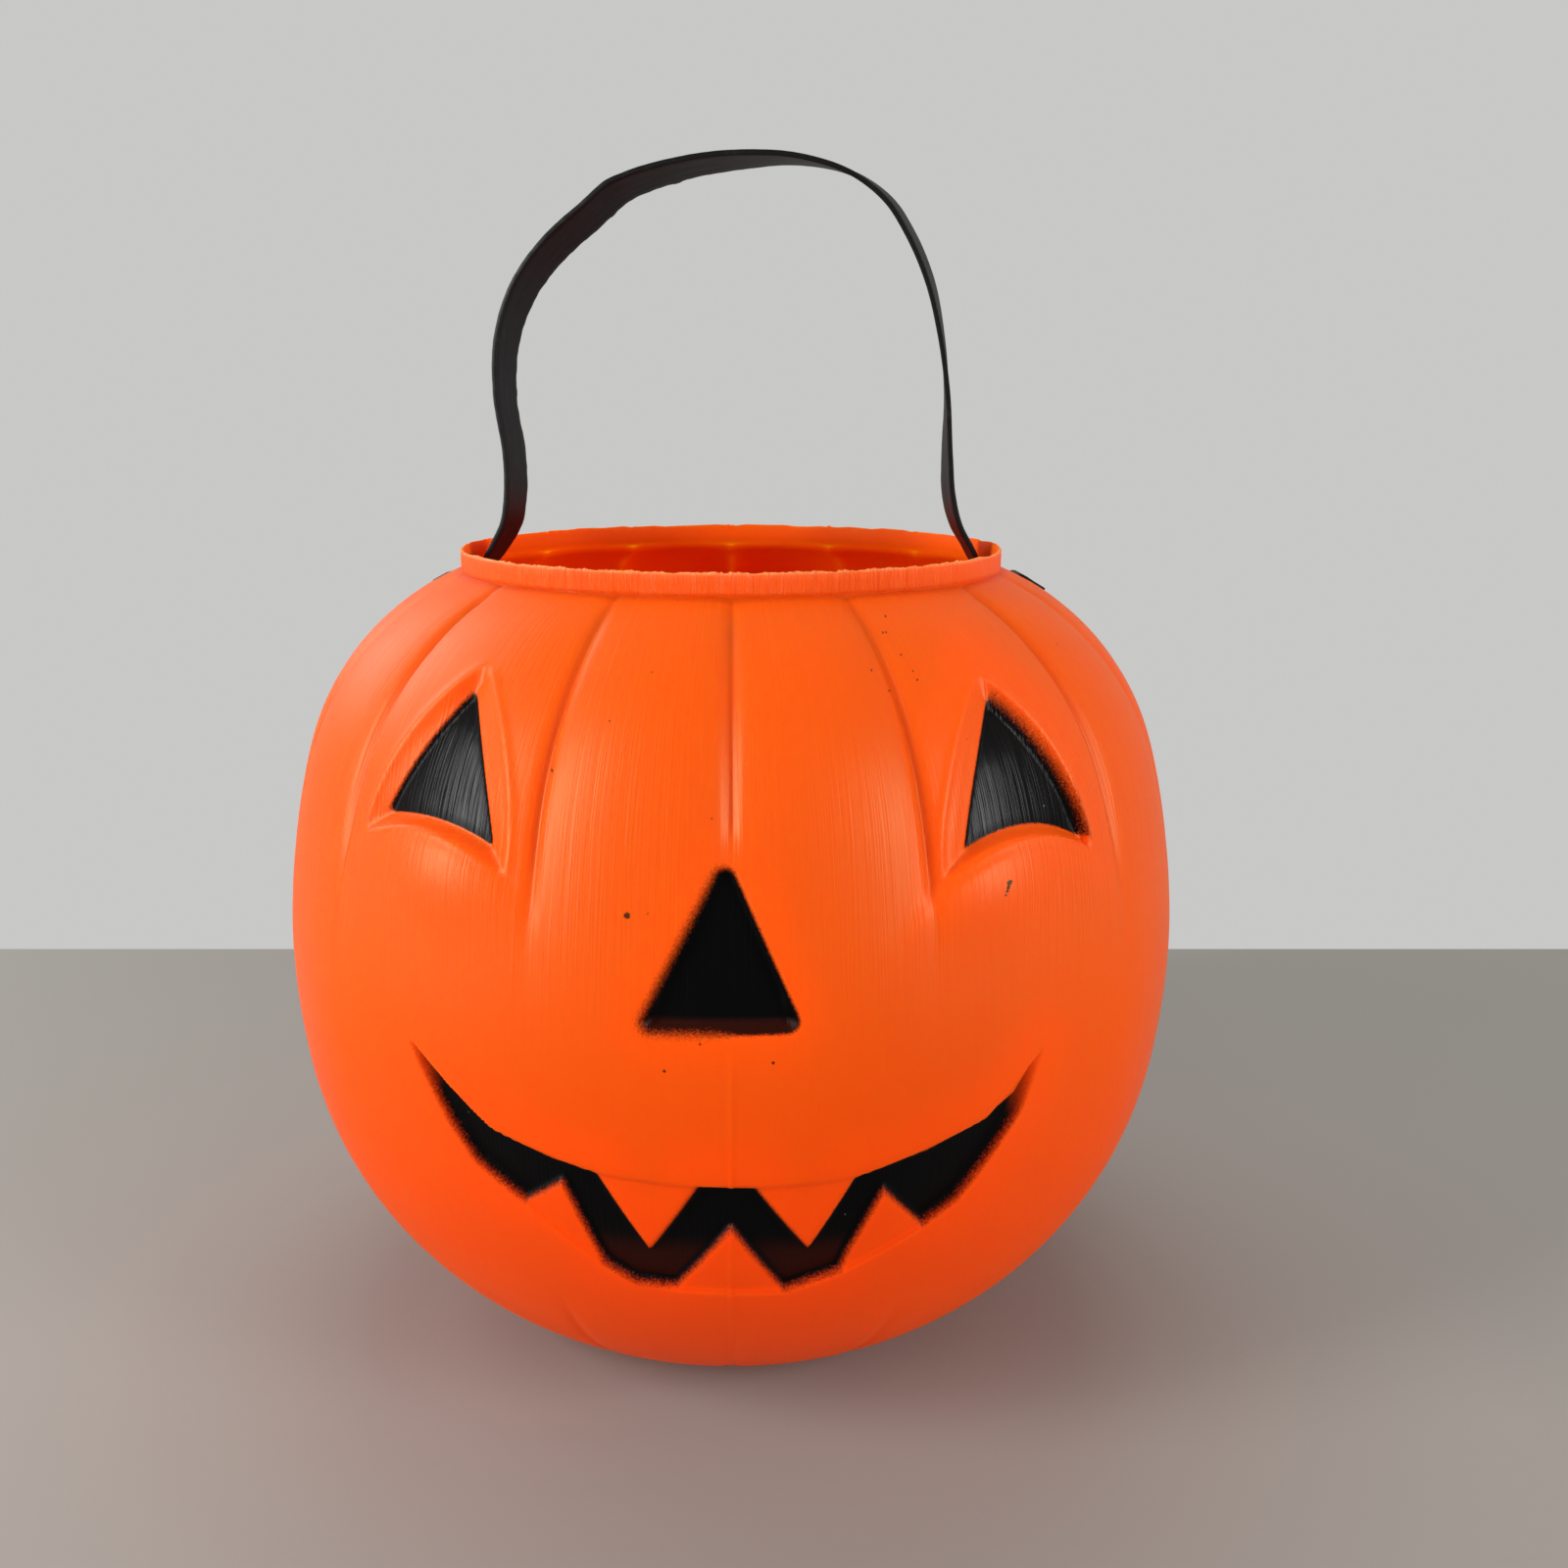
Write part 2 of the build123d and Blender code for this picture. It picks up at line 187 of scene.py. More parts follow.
face = {
    # corners run tip, nose side, outer side; bows and spreads belong to the side after each corner
    "eyes": [
        {"floor": [(-51.5, 165.0), (-46.2, 137.0), (-70.6, 139.3)], "floorBows": [0.4, -2.3, 1.5],
         "crest": [(-47.6, 169.8), (-42.8, 132.0), (-75.1, 133.9)], "crestBows": [2.9, -6.0, 4.6],
         "spread": [0.2, -0.8, 0.35], "soft": [0.25, 0.2, 0.35], "cheek": (-56.5, 131.6)},
        {"floor": [(51.5, 163.3), (45.4, 137.0), (71.6, 134.6)], "floorBows": [0.7, -3.9, 2.6],
         "crest": [(47.8, 168.2), (39.5, 131.5), (72.6, 132.2)], "crestBows": [2.5, -6.0, 4.9],
         "spread": [0.3, -0.5, 1.0], "soft": [0.4, 0.3, 0.9], "cheek": (49.2, 130.6)},
    ],
    "eyeDepth": 2.2,                        # slope from the socket's crest down to the floor
    "eyeStep": 0.6, "eyeStepSoft": 0.35,    # small step round the floor
    "bowReach": 0.25,                       # how far a side's bow carries on past its corners
    "hipRound": 0.6, "tipRound": 1.4, "slopeSoft": 0.03,  # softness of the socket's corners
    "crestLip": 0.35, "lipRound": 6.0, "lipWidth": 0.9,   # raised edge of the socket
    "cheekHeight": 2.1, "cheekWidth": 14.0, "cheekDrop": 10.0, "cheekStart": (-2.0, 3.0),
    "nose": [(-1.2, 134.9), (10.4, 109.0), (-14.7, 108.6)],
    "noseRound": 2.4, "noseDepth": 2.2, "noseEdge": 0.2,
    "noseWall": 0.9, "noseLedge": 2.4, "ledgeHeights": (110.0, 116.0),  # steep sides, sloping foot
    "noseSoft": 0.45, "noseSpray": 0.9, "noseSprayPlace": (-3.0, 5.0),  # paint edge, softer to the left
    "mouth": [(-63.6, 96.2), (-56.4, 88.9), (-47.0, 82.1), (-35.0, 77.9), (-26.2, 76.4), (-16.0, 58.8),
              (-6.4, 74.9), (4.6, 74.7), (15.2, 59.2), (24.2, 75.7), (38.6, 79.1), (50.0, 83.4),
              (56.2, 87.2), (61.6, 95.0), (57.6, 83.2), (49.6, 71.8), (44.8, 66.0), (38.0, 61.2),
              (29.9, 71.2), (23.4, 57.4), (21.9, 52.3), (10.4, 47.9), (0.0, 64.6), (-10.7, 49.0),
              (-18.8, 49.3), (-25.4, 53.9), (-32.0, 70.0), (-33.2, 72.5), (-40.6, 66.6), (-50.6, 73.4),
              (-56.2, 81.6), (-62.2, 92.8)],
    "gum": [(-63.6, 96.2), (-47.0, 81.9), (-26.2, 76.4), (-6.4, 74.9), (4.6, 74.7), (24.2, 75.7),
            (50.0, 83.4), (61.6, 95.0), (49.6, 71.8), (38.0, 61.2), (21.9, 52.3), (10.4, 47.9),
            (-10.7, 48.4), (-25.4, 53.9), (-40.6, 66.6), (-56.2, 81.6)],  # the mouth without its teeth
    "mouthDepth": 2.2, "mouthWall": 1.1, "mouthEdge": 0.3, "mouthSoft": 0.75,
    "toothDrop": 0.7, "toothEdge": (-0.4, 0.5),  # the teeth lie a little below the cheeks
    # toothLine is a painted shade line along the foot of the teeth
    "toothLine": 0.85, "toothLineFade": 0.4, "toothLineHeights": (64.0, 72.0), "toothLineWidth": 0.5,
    "toothLineGap": (0.3, 1.0),
    "eyeBack": (1.0, 8.0), "cutBack": (3.0, 10.0), "backWiden": 1.012,  # how the inside skin follows
    # thin paint at the foot of the mouth and nose, faded mouth corners
    "thinMouth": 0.022, "thinMouthHeights": (56.0, 62.0), "thinMouthInset": (1.0, 1.8),
    "thinNose": 0.025, "thinNoseHeights": (108.4, 109.6), "noseNear": 3,
    "fadedLeft": 0.5, "fadedLeftPlace": (58.0, 63.0),
    "fadedRight": 0.85, "fadedRightPlace": (55.5, 61.5), "fadedBelow": 100,
    "unpainted": 50.0,  # distance to the paint where there is none
    # sideways place, height, radius
    "specks": [(-19.0, 128.3, 0.65), (-12.3, 99.4, 0.35), (7.8, 101.2, 0.35), (-5.7, 104.9, 0.25),
               (-33.6, 152.2, 0.3), (52.8, 131.0, 0.6), (52.6, 130.2, 0.45), (52.35, 129.5, 0.35),
               (52.1, 128.8, 0.28), (30.9, 177.9, 0.22), (30.0, 175.3, 0.2), (30.6, 175.3, 0.2),
               (33.2, 171.6, 0.22), (27.0, 169.4, 0.22), (35.3, 168.8, 0.18), (36.0, 167.3, 0.22),
               (30.4, 165.6, 0.2)],
}
noseLoop, mouthLoop, gumLoop = [np.array(face[name]) for name in ("nose", "mouth", "gum")]


def sideDistance(x, z, start, end, bow, inner):  # distance outside one bowed side of a triangle
    run = np.subtract(end, start)
    length = np.hypot(*run)
    outward = np.array((run[1], -run[0])) / length
    if np.dot(np.subtract(inner, start), outward) > 0:
        outward = -outward
    t = ((x - start[0]) * run[0] + (z - start[1]) * run[1]) / length ** 2
    t = np.clip(t, -face["bowReach"], 1 + face["bowReach"])
    return (x - start[0]) * outward[0] + (z - start[1]) * outward[1] - 4 * bow * t * (1 - t)


def eyeSides(x, z, eye, corners):  # distance outside each side of an eye's floor or crest
    loop = eye[corners]
    middle = np.mean(loop, axis=0)
    bows = eye[corners + "Bows"]
    return [sideDistance(x, z, loop[k], loop[(k + 1) % 3], bows[k], middle) for k in range(3)]


def backRelief(x, z):  # the sunk shapes as the inside skin follows them, wider and softer
    relief = np.zeros(x.shape)
    for eye in face["eyes"]:
        gap = np.max(eyeSides(x, z, eye, "crest"), axis=0)
        depth = face["eyeDepth"] + face["eyeStep"]
        relief = np.minimum(relief, -depth * (1 - softStep(gap, *face["eyeBack"])))
    for loop, depth in ((noseLoop, face["noseDepth"]), (mouthLoop, face["mouthDepth"])):
        gap = outlineDistance(x, z, loop)
        relief = np.minimum(relief, -depth * (1 - softStep(gap, *face["cutBack"])))
    return relief


# how far the surface stands out, the paint's edge, softness and thickness, and the line along the teeth that
# takes painted shade
def faceRelief(x, z):
    relief = np.zeros(x.shape)
    edge = np.full(x.shape, face["unpainted"])
    soft = np.full(x.shape, 1.0)
    coat = np.ones(x.shape)
    flat = -roundMax([-1.0] * 3, face["hipRound"])
    dip = math.sqrt(face["slopeSoft"])
    for eye in face["eyes"]:
        floorSides = eyeSides(x, z, eye, "floor")
        crestSides = eyeSides(x, z, eye, "crest")
        ramps = [np.clip(-c, 0, None) / (np.clip(-c, 0, None) + np.clip(f, 0, None) + 1e-6)
                 for f, c in zip(floorSides, crestSides)]
        slope = np.clip(-roundMax([-ramp for ramp in ramps], face["hipRound"]) / flat, 0, 1)
        slope = (np.sqrt(slope ** 2 + face["slopeSoft"]) - dip) / (math.sqrt(1 + face["slopeSoft"]) - dip)
        floorGap = roundMax(floorSides, face["tipRound"])
        floorStep = softStep(-floorGap, -face["eyeStepSoft"], face["eyeStepSoft"])
        relief -= face["eyeDepth"] * slope + face["eyeStep"] * floorStep
        relief += face["crestLip"] * bell(roundMax(crestSides, face["lipRound"]), face["lipWidth"])
        cx, cz = eye["cheek"]
        swelling = np.exp(-((x - cx) / face["cheekWidth"]) ** 2 - ((z - cz) / face["cheekDrop"]) ** 2)
        relief += face["cheekHeight"] * swelling * softStep(crestSides[1], *face["cheekStart"])
        reach = [f - spread for f, spread in zip(floorSides, eye["spread"])]
        paint = roundMax(reach, face["tipRound"])
        soft = np.where(paint < edge, np.take(eye["soft"], np.argmax(reach, axis=0)), soft)
        edge = np.minimum(edge, paint)

    nose = outlineDistance(x, z, noseLoop) - face["noseRound"]
    ledge = fallStep(z, *face["ledgeHeights"]) * (face["noseLedge"] - face["noseWall"]) + face["noseWall"]
    relief -= face["noseDepth"] * softStep(-nose, -face["noseEdge"], ledge)
    spray = face["noseSoft"] + face["noseSpray"] * softStep(-x, *face["noseSprayPlace"])
    soft = np.where(nose < edge, spray, soft)
    edge = np.minimum(edge, nose)

    mouth = outlineDistance(x, z, mouthLoop)
    gum = outlineDistance(x, z, gumLoop)
    drop = face["toothDrop"] * softStep(-gum, *face["toothEdge"])
    line = face["toothLine"] - face["toothLineFade"] * softStep(z, *face["toothLineHeights"])
    line = line * bell(gum, face["toothLineWidth"]) * softStep(mouth, *face["toothLineGap"])
    relief -= drop + (face["mouthDepth"] - drop) * softStep(-mouth, -face["mouthEdge"], face["mouthWall"])
    soft = np.where(mouth < edge, face["mouthSoft"], soft)
    edge = np.minimum(edge, mouth)

    thinFoot = fallStep(z, *face["thinMouthHeights"]) * softStep(-mouth, *face["thinMouthInset"])
    coat -= face["thinMouth"] * thinFoot
    coat -= face["thinNose"] * fallStep(z, *face["thinNoseHeights"]) * (nose < face["noseNear"])
    faded = face["fadedLeft"] * softStep(-x, *face["fadedLeftPlace"])
    faded = faded + face["fadedRight"] * softStep(x, *face["fadedRightPlace"])
    coat -= faded * (z < face["fadedBelow"])
    return relief, edge, soft, coat, line


# Shell: the turned pail, with creases, sunk face, collar and strap slots

pailShell = {
    "bellyRadius": 108.0, "bellyHeight": 95.0, "bellyArc": 173.0, "turnUp": 14.9, "turnDown": 8.4,
    "shoulderArc": 62.3, "baseRadius": 54.3, "wall": 1.2, "arcPoints": 400,
    "collarRadius": 64.4, "collarHeight": 4.9,
    "collarRound": 2.6, "collarSteps": 4,  # rounded corner inside the collar
    "collarRows": [0.5, 1.6, 3.0],  # heights above the collar's foot
    "rimOuter": [(0.0, -0.4), (-0.2, 0.0)],  # from the collar's outside and the rim
    "rimInner": [(0.55, 0.0), (0.35, -0.5), (0.0, -1.8)],  # from the collar's inside and the rim
    "ringWidth": 12.0, "ringStep": 5, "heelStart": 0.8, "heelRow": 0.4,
    "pushUp": 4.0, "pushUpRun": 6.0, "pushUpRings": [0, 14, 28],
    "creases": [0.0, 21.3, 50.5, 74.0, 104.46, 129.64, 154.82],  # degrees each side of the face
    "creaseFeet": [(137.0, 147.0), (116.0, 142.0), (112.0, 145.0)],  # where the front creases fade in
    "lobeDepth": 1.4, "lobePower": 2.4, "lobeHeights": (92.0, 150.0),
    "lobeTopFade": 0.45, "lobeTopHeights": (168.0, 181.0),
    "grooveDepth": 0.95, "grooveWidth": 1.35, "grooveTopFade": 0.2, "grooveTopHeights": (158.0, 176.0),
    "heelCrease": 0.4, "heelCreaseHeights": (26.0, 46.0),
    "collarShare": 0.4, "collarReach": 2.5,  # creases run out at the collar
    "partingLine": 0.25, "partingWidth": 0.5, "partingHeights": (99.0, 104.0),
    "innerFade": 0.5, "innerHeights": (166.0, 177.0),  # inside, the creases are weaker near the top
    "sunkFade": 0.8, "sunkDepths": (0.2, 1.5),  # and they stop where the face is sunk
    # collarLineWidth is the width of the painted shade at the collar's foot
    "rimSway": 0.12, "rimRagged": 0.28, "collarSway": 0.12, "collarLineWidth": 0.6,
    "fineRow": 1.2, "coarseRow": 2.4, "innerRow": 5.0, "fineHeights": (44, 172), "fineReach": 2.4,
    "faceHalf": 84, "faceHeights": (44, 174), "faceTurn": 75,
    "fineColumn": 0.64, "coarseColumn": 3.2, "creaseColumn": 0.26, "creaseReach": 1.7,  # degrees
    "fineTurn": (47.0, 56.0), "frontCreaseTurn": 60,
    "slotAngles": (90.3, 97.9), "slotOuter": (68.3, 72.0), "slotInner": (66.6, 70.2),
    "slotMargin": 0.8, "slotTurnMargin": 0.5, "slotFloor": 170,
    "skinGap": 0.4,  # how near a point is to the skin that it belongs to
}


def flankCurve(inset):  # radius, height and lean of the side wall, foot to collar
    s = pailShell
    up, down = math.radians(s["turnUp"]), math.radians(s["turnDown"])
    bellyX = s["bellyRadius"] - s["bellyArc"]
    shoulder = s["bellyArc"] - s["shoulderArc"]
    shoulderX, shoulderZ = bellyX + shoulder * math.cos(up), s["bellyHeight"] + shoulder * math.sin(up)
    heelWide = bellyX + s["bellyArc"] * math.cos(down) - s["baseRadius"]
    heelTall = s["bellyHeight"] - s["bellyArc"] * math.sin(down)
    heelArc = (heelWide ** 2 + heelTall ** 2) / (2 * (heelWide * math.cos(down) - heelTall * math.sin(down)))
    heelX = bellyX + (s["bellyArc"] - heelArc) * math.cos(down)
    heelZ = s["bellyHeight"] - (s["bellyArc"] - heelArc) * math.sin(down)
    low = math.asin((inset - heelZ) / (heelArc - inset))
    high = math.acos((s["collarRadius"] - inset - shoulderX) / (s["shoulderArc"] - inset))
    arcs = [(heelX, heelZ, heelArc, low, -down), (bellyX, s["bellyHeight"], s["bellyArc"], -down, up),
            (shoulderX, shoulderZ, s["shoulderArc"], up, high)]
    turns = [np.linspace(a, b, s["arcPoints"]) for _, _, _, a, b in arcs]
    radius = np.concatenate([x + (r - inset) * np.cos(t) for (x, _, r, _, _), t in zip(arcs, turns)])
    height = np.concatenate([z + (r - inset) * np.sin(t) for (_, z, r, _, _), t in zip(arcs, turns)])
    return radius, height, np.concatenate(turns)


outerFlank = flankCurve(0.0)
innerFlank = flankCurve(pailShell["wall"])
collarFoot = outerFlank[1][-1]
rimHeight = collarFoot + pailShell["collarHeight"]


def flankRows(flank, spacing, slot):  # points along the wall at the given spacing
    radius, height, _ = flank
    belly, margin = pailShell["bellyHeight"], pailShell["slotMargin"]
    along = np.concatenate([[0], np.cumsum(np.hypot(np.diff(radius), np.diff(height)))])
    count = np.concatenate([[0], np.cumsum(np.diff(along) / spacing(height)[1:])])
    stations = np.interp(np.linspace(0, count[-1], int(count[-1]) + 1), count, along)
    rows = [(np.interp(a, along, radius), np.interp(a, along, height)) for a in stations]
    low, high = slot  # one clear row where the strap slots are cut
    upper = height > belly
    edges = [(r, np.interp(-r, -radius[upper], height[upper])) for r in (high, low)]
    rows = [row for row in rows if row[1] < belly or not low - margin < row[0] < high + margin]
    return sorted(rows + edges, key=lambda row: row[1])


def columnAngles():  # close together on the face and at the creases
    s = pailShell
    turn = np.linspace(-180, 180, 14401)
    every = s["creases"] + [-a for a in s["creases"][1:]] + [180.0, -180.0]
    spread = softStep(np.abs(turn), *s["fineTurn"])
    spacing = s["fineColumn"] + (s["coarseColumn"] - s["fineColumn"]) * spread
    for crease in every:
        near = np.exp(-((turn - crease) / s["creaseReach"]) ** 4)
        share = 1 if abs(crease) < s["frontCreaseTurn"] else 2
        spacing = spacing * (1 - near) + s["creaseColumn"] * share * near
    count = np.concatenate([[0], np.cumsum(np.diff(turn) / spacing[1:])])
    angles = list(np.interp(np.linspace(0, count[-1], int(count[-1]) + 1), count, turn))[:-1]
    for slotAngle in (s["slotAngles"] + tuple(-a for a in s["slotAngles"])):
        angles = [a for a in angles if abs(a - slotAngle) > s["slotTurnMargin"]] + [slotAngle]
    return np.sort(np.array(angles))


def shellProfile():  # half outline, from the middle of the base round the rim to the middle of the inside
    s = pailShell
    low, high = s["fineHeights"]
    outer = flankRows(outerFlank, lambda z: np.where((z > low) & (z < high), s["fineRow"], s["coarseRow"]),
                      s["slotOuter"])
    inner = flankRows(innerFlank, lambda z: np.full(z.shape, s["innerRow"]), s["slotInner"])
    outside, inside = s["collarRadius"], s["collarRadius"] - s["wall"]
    ringInner = s["baseRadius"] - s["ringWidth"]
    raised = s["pushUpRings"] + [ringInner - s["pushUpRun"]]
    rows = [(r, s["pushUp"]) for r in raised]
    rows += [(ringInner, 0), (ringInner + s["ringStep"], 0), (s["baseRadius"] - s["heelStart"], 0)]
    rows += [row for row in outer if row[1] > s["heelRow"]]
    rows += [(outside, collarFoot + rise) for rise in s["collarRows"]]
    rows += [(outside + out, rimHeight + rise) for out, rise in s["rimOuter"]]
    rows += [(inside + out, rimHeight + rise) for out, rise in s["rimInner"]]
    corner = inner[-1]
    inner = [row for row in inner if math.dist(row, corner) > s["collarRound"]]
    start, end = (inside, corner[1] + s["collarRound"]), inner[-1]
    for t in np.arange(s["collarSteps"]) / s["collarSteps"]:
        rows.append(tuple((1 - t) ** 2 * a + 2 * t * (1 - t) * b + t * t * c
                          for a, b, c in zip(start, corner, end)))
    rows += reversed(inner)
    rows += [(ringInner, s["wall"])] + [(r, s["pushUp"] + s["wall"]) for r in reversed(raised)]
    return rows


def creaseRelief(turn, height, radius):  # valleys between the pumpkin's ribs, and how near the valley line is
    s = pailShell
    every = sorted([-a for a in s["creases"][1:]] + s["creases"])
    ring = np.array([-180.0] + every + [180.0])
    place = np.clip(np.searchsorted(ring, turn) - 1, 0, len(ring) - 2)
    low, high = ring[place], ring[place + 1]
    across = np.abs(2 * (turn - low) / (high - low) - 1)
    offset = np.minimum(turn - low, high - turn) * np.pi / 180 * radius
    nearest = np.abs(np.where(turn - low < high - turn, low, high))
    footLow, footHigh = [np.full(turn.shape, foot) for foot in s["creaseFeet"][-1]]
    for crease, (startHeight, fullHeight) in zip(s["creases"], s["creaseFeet"]):
        footLow = np.where(np.abs(nearest - crease) < 1, startHeight, footLow)
        footHigh = np.where(np.abs(nearest - crease) < 1, fullHeight, footHigh)
    lobeFade = softStep(height, *s["lobeHeights"])
    lobeFade = lobeFade * (1 - s["lobeTopFade"] * softStep(height, *s["lobeTopHeights"]))
    grooveFade = softStep((height - footLow) / (footHigh - footLow), 0.0, 1.0)
    grooveFade = grooveFade * (1 - s["grooveTopFade"] * softStep(height, *s["grooveTopHeights"]))
    grooveFade = grooveFade + s["heelCrease"] * fallStep(height, *s["heelCreaseHeights"])
    groove = bell(offset, s["grooveWidth"])
    relief = -s["lobeDepth"] * lobeFade * across ** s["lobePower"] - s["grooveDepth"] * grooveFade * groove
    relief *= s["collarShare"] + (1 - s["collarShare"]) * softStep(collarFoot - height, 0.0, s["collarReach"])
    parting = bell(turn * np.pi / 180 * radius, s["partingWidth"]) * fallStep(height, *s["partingHeights"])
    relief += s["partingLine"] * parting
    return relief, groove * grooveFade


def spinShell(bm):
    rows = shellProfile()
    angles = columnAngles()
    line = [bm.verts.new((0, r, z)) for r, z in rows]
    edges = [bm.edges.new(pair) for pair in zip(line, line[1:])]
    bmesh.ops.spin(bm, geom=line + edges, axis=(0, 0, 1), cent=(0, 0, 0), dvec=(0, 0, 0),
                   angle=2 * math.pi, steps=len(angles), use_merge=True)
    bmesh.ops.remove_doubles(bm, verts=bm.verts, dist=0.0005)
    # turn each column to its own place
    for v in bm.verts:
        r = math.hypot(v.co.x, v.co.y)
        if r > 0.001:
            k = round((math.atan2(v.co.x, -v.co.y) + math.pi) / (2 * math.pi) * len(angles)) % len(angles)
            a = math.radians(angles[k])
            v.co.x, v.co.y = r * math.sin(a), -r * math.cos(a)
    print("shell spun:", len(rows), "rows", len(angles), "columns")


def cutSlots(bm):  # matching openings in both skins, joined by a sleeve
    s = pailShell
    lowTurn, highTurn = s["slotAngles"]
    shoulder = 2 * s["arcPoints"]
    for side in (-1, 1):
        counts = []
        for (lowR, highR), flank in ((s["slotOuter"], outerFlank), (s["slotInner"], innerFlank)):
            gone = []
            for f in bm.faces:
                c = f.calc_center_median()
                r = math.hypot(c.x, c.y)
                if c.z < s["slotFloor"] or not lowR < r < highR:
                    continue
                turn = math.degrees(math.atan2(c.x, -c.y)) * side
                level = np.interp(-r, -flank[0][shoulder:], flank[1][shoulder:])
                if lowTurn < turn < highTurn and abs(c.z - level) < s["skinGap"]:
                    gone.append(f)
            bmesh.ops.delete(bm, geom=gone, context="FACES")
            counts.append(len(gone))
        bmesh.ops.bridge_loops(bm, edges=[e for e in bm.edges if e.is_boundary])
        print("slot cut:", counts)


def refineFace(bm):  # finer mesh in the eye sockets and along the edges of the nose and mouth
    s = pailShell
    low, high = s["faceHeights"]
    near = []
    for f in bm.faces:
        c = f.calc_center_median()
        onFace = c.y < -20 and abs(c.x) < s["faceHalf"] and low < c.z < high
        if onFace and math.hypot(c.x, c.y) > np.interp(c.z, outerFlank[1], outerFlank[0]) - s["wall"] / 2:
            near.append(f)
    centres = np.array([f.calc_center_median() for f in near])
    across, upward = centres[:, 0], centres[:, 2]
    close = np.full(len(near), False)
    for eye in face["eyes"]:
        close |= np.max(eyeSides(across, upward, eye, "crest"), axis=0) < s["fineReach"]
    for loop, offset in ((noseLoop, face["noseRound"] / 2), (mouthLoop, 0.0), (gumLoop, 0.0)):
        close |= np.abs(outlineDistance(across, upward, loop) - offset) < s["fineReach"]
    edges = {e for f, hit in zip(near, close) if hit for e in f.edges}
    bmesh.ops.subdivide_edges(bm, edges=list(edges), cuts=1, use_grid_fill=True)
    manySided = [f for f in bm.faces if len(f.verts) > 4]
    bmesh.ops.triangulate(bm, faces=manySided, quad_method="BEAUTY", ngon_method="BEAUTY")
    bmesh.ops.recalc_face_normals(bm, faces=bm.faces)


def pressRelief(bm):  # creases, face and ragged rim, with what the finish needs to know at each point
    s = pailShell
    bm.verts.ensure_lookup_table()
    place = np.array([v.co for v in bm.verts])
    radius = np.hypot(place[:, 0], place[:, 1])
    turn = np.degrees(np.arctan2(place[:, 0], -place[:, 1]))
    height = place[:, 2]
    onFlank = (height > 0.3) & (height < collarFoot + 0.01) & (radius > 40)
    outerGap = np.abs(radius - np.interp(height, outerFlank[1], outerFlank[0]))
    innerGap = np.abs(radius - np.interp(height, innerFlank[1], innerFlank[0]))
    outer = onFlank & (outerGap < innerGap)
    inner = onFlank & ~outer & (innerGap < s["skinGap"])
    radius = np.where(outer, np.interp(height, outerFlank[1], outerFlank[0]), radius)
    sideways = radius * np.sin(np.radians(turn))
    front = (np.abs(turn) < s["faceTurn"]) & onFlank
    sunk, edge, soft, coat, toothLine = faceRelief(sideways, height)
    sunk = np.where(front, np.where(outer, sunk, backRelief(sideways * face["backWiden"], height)), 0)
    rib, groove = creaseRelief(turn, height, radius)
    rib = np.where(outer, rib, rib * (1 - s["innerFade"] * softStep(height, *s["innerHeights"])))
    rib = rib * (1 - s["sunkFade"] * softStep(-sunk, *s["sunkDepths"]))
    relief = np.where(outer | inner, sunk + rib, 0)
    lean = np.interp(height, outerFlank[1], outerFlank[2])
    newRadius = radius + relief * np.cos(lean)
    newHeight = height + relief * np.sin(lean)
    # ragged cut rim
    ragged = s["rimSway"] * wobble(turn * 0.9, 1.0) + s["rimRagged"] * wobble(turn * 4.1, 2.0)
    newHeight += np.where(height > rimHeight - 0.5, ragged, 0)
    newRadius += np.where(height > collarFoot + 0.3, s["collarSway"] * wobble(turn * 0.35, 3.0), 0)
    a = np.radians(turn)
    onAxis = radius < 0.001
    newX = np.where(onAxis, 0, newRadius * np.sin(a))
    newY = np.where(onAxis, 0, -newRadius * np.cos(a))
    paintLayer = bm.verts.layers.float_vector.new("paintCoat")
    # second layer: where painted shade darkens the crease valleys, the teeth line and the collar's foot, and
    # which side is outside
    shadeLayer = bm.verts.layers.float_vector.new("shadeAndSide")
    outside = outer | ((height > collarFoot) & (radius > s["collarRadius"] - s["wall"] / 2))
    # the line along the teeth takes the same painted shade as the creases
    groove = np.maximum(groove, np.where(front, toothLine, 0))
    # painted shade at the collar's foot
    collarFootShade = np.where(outside, bell(height - collarFoot, s["collarLineWidth"]), 0)
    for k, v in enumerate(bm.verts):
        v.co = (newX[k], newY[k], newHeight[k])
        painted = outer[k] and front[k]
        v[paintLayer] = (edge[k] if painted else face["unpainted"], soft[k], coat[k])
        v[shadeLayer] = (groove[k] if outer[k] else 0.0, collarFootShade[k], 1.0 if outside[k] else 0.0)


def buildShell():
    bm = bmesh.new()
    spinShell(bm)
    cutSlots(bm)
    refineFace(bm)
    pressRelief(bm)
    return bm


# Finish of the shell: orange plastic outside and in, sprayed black paint on the face

